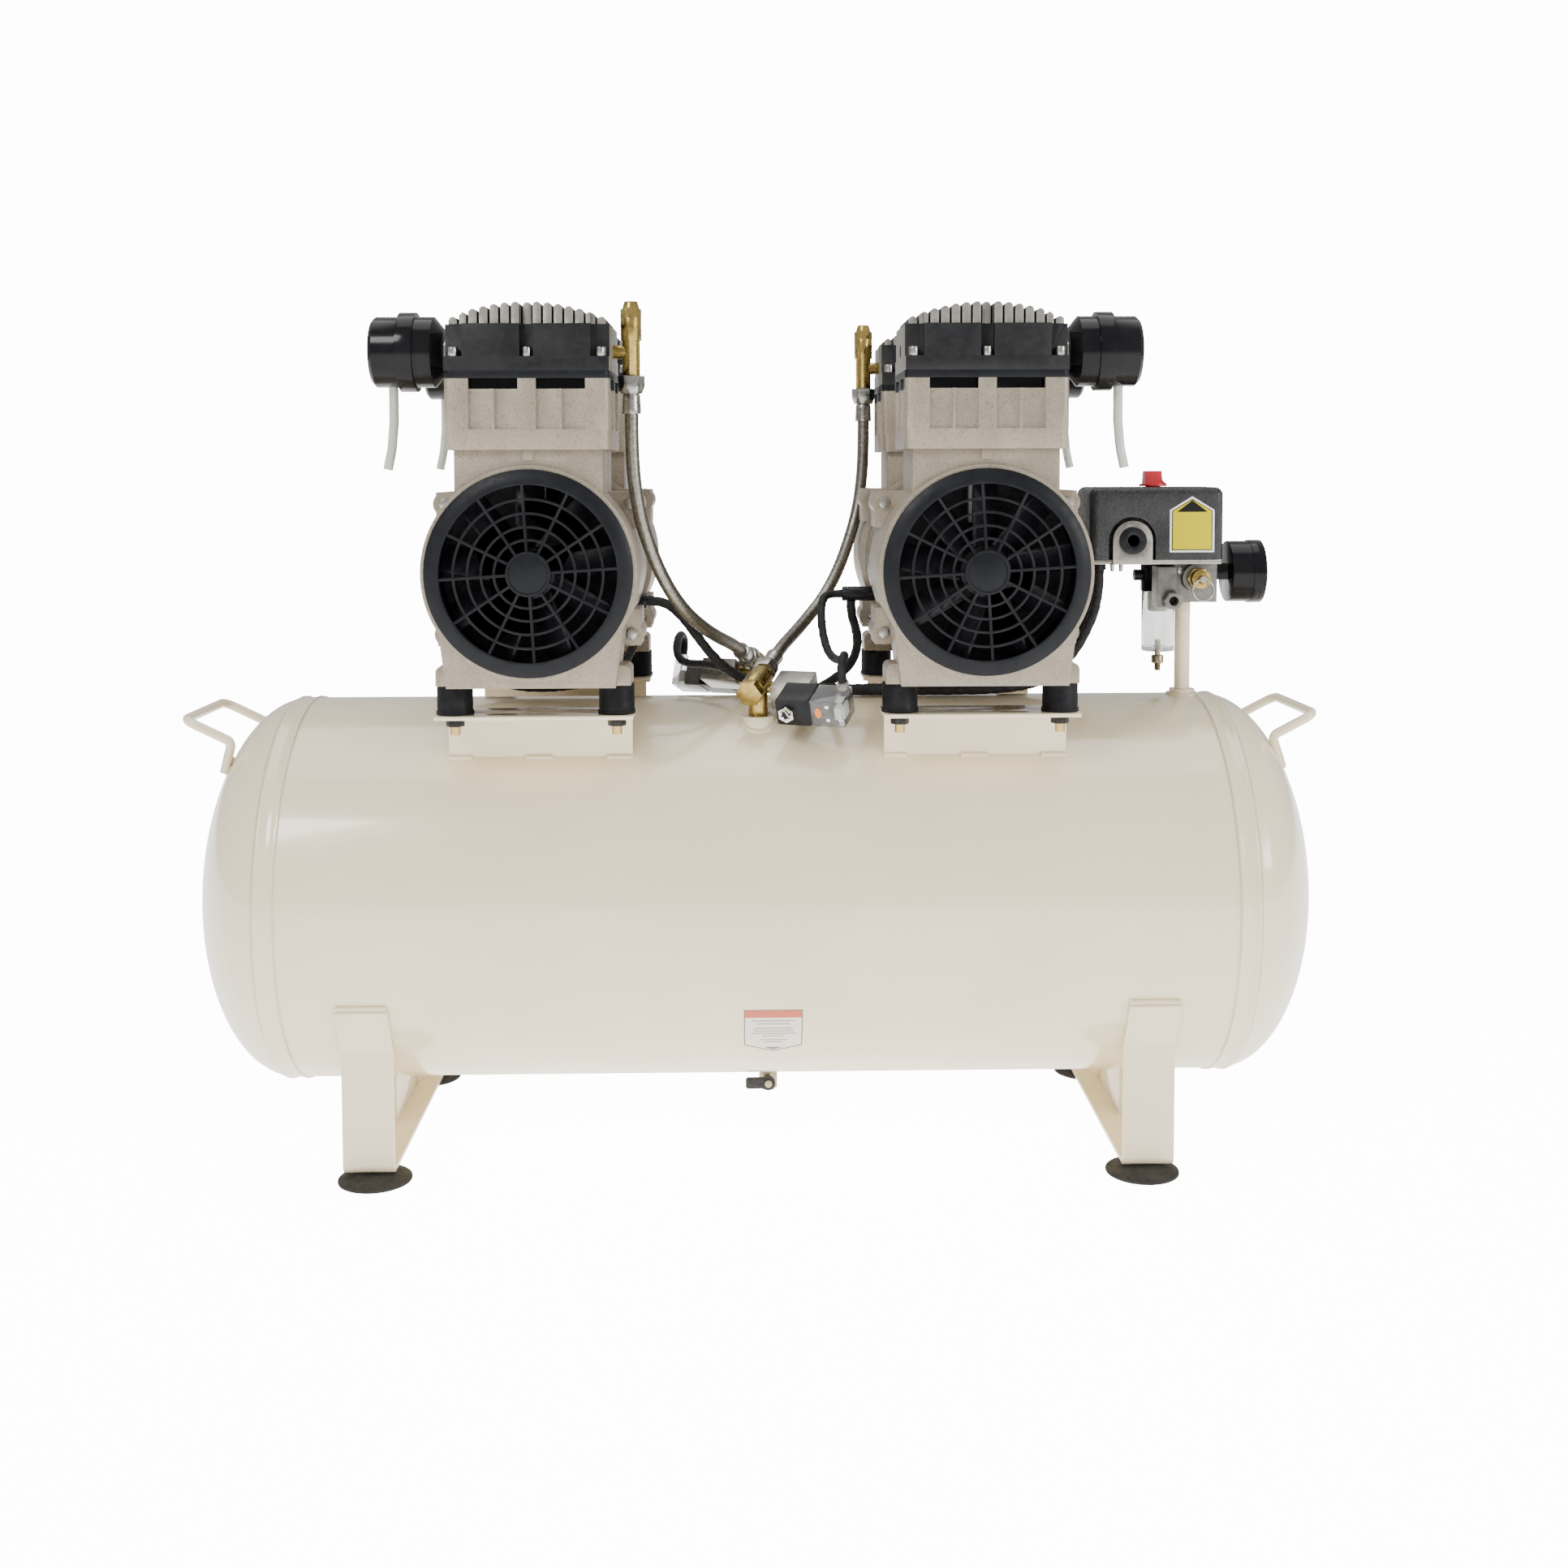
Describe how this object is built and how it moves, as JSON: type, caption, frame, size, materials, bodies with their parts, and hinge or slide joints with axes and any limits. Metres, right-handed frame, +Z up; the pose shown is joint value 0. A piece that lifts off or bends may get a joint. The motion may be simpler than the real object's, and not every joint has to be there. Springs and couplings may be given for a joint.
{
  "type": "air compressor",
  "caption": "Horizontal-tank oil-free air compressor with twin-cylinder pumps side by side on rubber mounts, braided hoses to the tank, and a pressure switch with gauge and filter.",
  "frame": {"origin": "on the floor, under the middle of the tank", "axes": "+X along the tank axis to the pressure-switch end, -Y towards the front, +Z up"},
  "size_m": [0.9615, 0.356, 0.711],
  "materials": {
    "cream_paint": "cream-white gloss enamel",
    "rubber": "moulded rubber",
    "cast_silver": "silver-painted sand-textured casting",
    "head_black": "black anodised casting, fin tops bare",
    "zinc_steel": "zinc-plated",
    "rotor_steel": "machined",
    "moulded_black": "satin moulding",
    "gloss_black": "gloss enamel",
    "bare_aluminium": "extruded or sheet metal, bare",
    "diecast_grey": "die-cast zinc",
    "brass": "machined",
    "clear_plastic": "clear moulding",
    "lens_clear": "clear",
    "textured_black": "coarse-textured moulding",
    "red_plastic": "moulded",
    "black_enamel": "enamel",
    "braid": "stainless braid",
    "lead_sleeve": "woven sleeve"
  },
  "bodies": {
    "machine": {"air_outlet": "diecast_grey", "cable_glands": "moulded_black", "carry_handles": "cream_paint", "check_valves": "brass", "cylinder_blocks": "cast_silver", "drain_valve": "brass", "fan_grilles": "moulded_black", "filter_bowl": "clear_plastic", "filter_drain_tubes": "clear_plastic", "filter_head": "gloss_black", "foot_pads": "rubber", "front_valve_lead": "lead_sleeve", "gauge_case": "gloss_black", "gauge_lens": "lens_clear", "hose_fittings": "zinc_steel", "intake_filters": "gloss_black", "left_air_hose": "braid", "left_cylinder_heads": "head_black", "left_end_bells": "cast_silver", "left_motor_lead": "lead_sleeve", "left_start_lead": "lead_sleeve", "leg_left": "cream_paint", "leg_right": "cream_paint", "manifold": "diecast_grey", "motor_stators": "rotor_steel", "mount_hardware": "zinc_steel", "outlet_tees": "brass", "pump_brackets": "cream_paint", "pump_screws": "zinc_steel", "rear_valve_lead": "lead_sleeve", "right_air_hose": "braid", "right_cylinder_heads": "head_black", "right_end_bells": "cast_silver", "right_motor_lead": "lead_sleeve", "riser_pipe": "cream_paint", "rotor_bearings": "zinc_steel", "safety_valve": "brass", "solenoid_coils": "moulded_black", "solenoid_plugs": "clear_plastic", "switch_bracket": "bare_aluminium", "switch_cover": "textured_black", "tank_bungs": "cream_paint", "tank_heads": "cream_paint", "tank_shell": "cream_paint", "unloader_blocks": "bare_aluminium", "valve_plates": "head_black", "vibration_mounts": "rubber"},
    "left_rotor_group": {"left_rotor": "rotor_steel", "left_fans": "moulded_black"},
    "right_rotor_group": {"right_rotor": "rotor_steel", "right_fans": "moulded_black"},
    "left_front_piston_body": {"left_front_piston": "bare_aluminium"},
    "left_rear_piston_body": {"left_rear_piston": "bare_aluminium"},
    "right_front_piston_body": {"right_front_piston": "bare_aluminium"},
    "right_rear_piston_body": {"right_rear_piston": "bare_aluminium"},
    "knob": {"switch_knob": "red_plastic"},
    "relief_pull": {"safety_pull": "zinc_steel"},
    "drain_handle": {"drain_lever": "black_enamel"},
    "filter_drain": {"bowl_drain": "zinc_steel"},
    "gauge_hand": {"gauge_pointer": "black_enamel"}
  },
  "joints": [
    {"name": "left_rotor_spin", "type": "hinge", "parent": "machine", "child": "left_rotor_group", "pos_m": [-0.178, 0, 0.497], "axis": [0, 1, 0], "continuous": true},
    {"name": "left_front_piston_stroke", "type": "slide", "parent": "machine", "child": "left_front_piston_body", "axis": [0, 0, 1], "range_m": [-0.009, 0.009]},
    {"name": "left_rear_piston_stroke", "type": "slide", "parent": "machine", "child": "left_rear_piston_body", "axis": [0, 0, 1], "range_m": [-0.009, 0.009]},
    {"name": "right_rotor_spin", "type": "hinge", "parent": "machine", "child": "right_rotor_group", "pos_m": [0.178, 0, 0.497], "axis": [0, 1, 0], "continuous": true},
    {"name": "right_front_piston_stroke", "type": "slide", "parent": "machine", "child": "right_front_piston_body", "axis": [0, 0, 1], "range_m": [-0.009, 0.009]},
    {"name": "right_rear_piston_stroke", "type": "slide", "parent": "machine", "child": "right_rear_piston_body", "axis": [0, 0, 1], "range_m": [-0.009, 0.009]},
    {"name": "knob_pull", "type": "slide", "parent": "machine", "child": "knob", "axis": [0, 0, 1], "range_m": [0, 0.006]},
    {"name": "relief_pull_out", "type": "slide", "parent": "machine", "child": "relief_pull", "axis": [0, -1, 0], "range_m": [0, 0.004], "stiffness_N_per_m": 600},
    {"name": "drain_turn", "type": "hinge", "parent": "machine", "child": "drain_handle", "pos_m": [0.008, -0.0144, 0.039], "axis": [0, -1, 0], "range_deg": [0, 90]},
    {"name": "filter_drain_push", "type": "slide", "parent": "machine", "child": "filter_drain", "axis": [0, 0, 1], "range_m": [0, 0.003], "stiffness_N_per_m": 300},
    {"name": "gauge_sweep", "type": "hinge", "parent": "machine", "child": "gauge_hand", "pos_m": [0.435, 0, 0.487], "axis": [1, 0, 0], "range_deg": [-270, 0], "stiffness_Nm_per_rad": 0.0005}
  ],
  "couplings": [
    {"joint": "left_rear_piston_stroke", "follows": "left_front_piston_stroke", "ratio": -1},
    {"joint": "right_rear_piston_stroke", "follows": "right_front_piston_stroke", "ratio": -1}
  ]
}
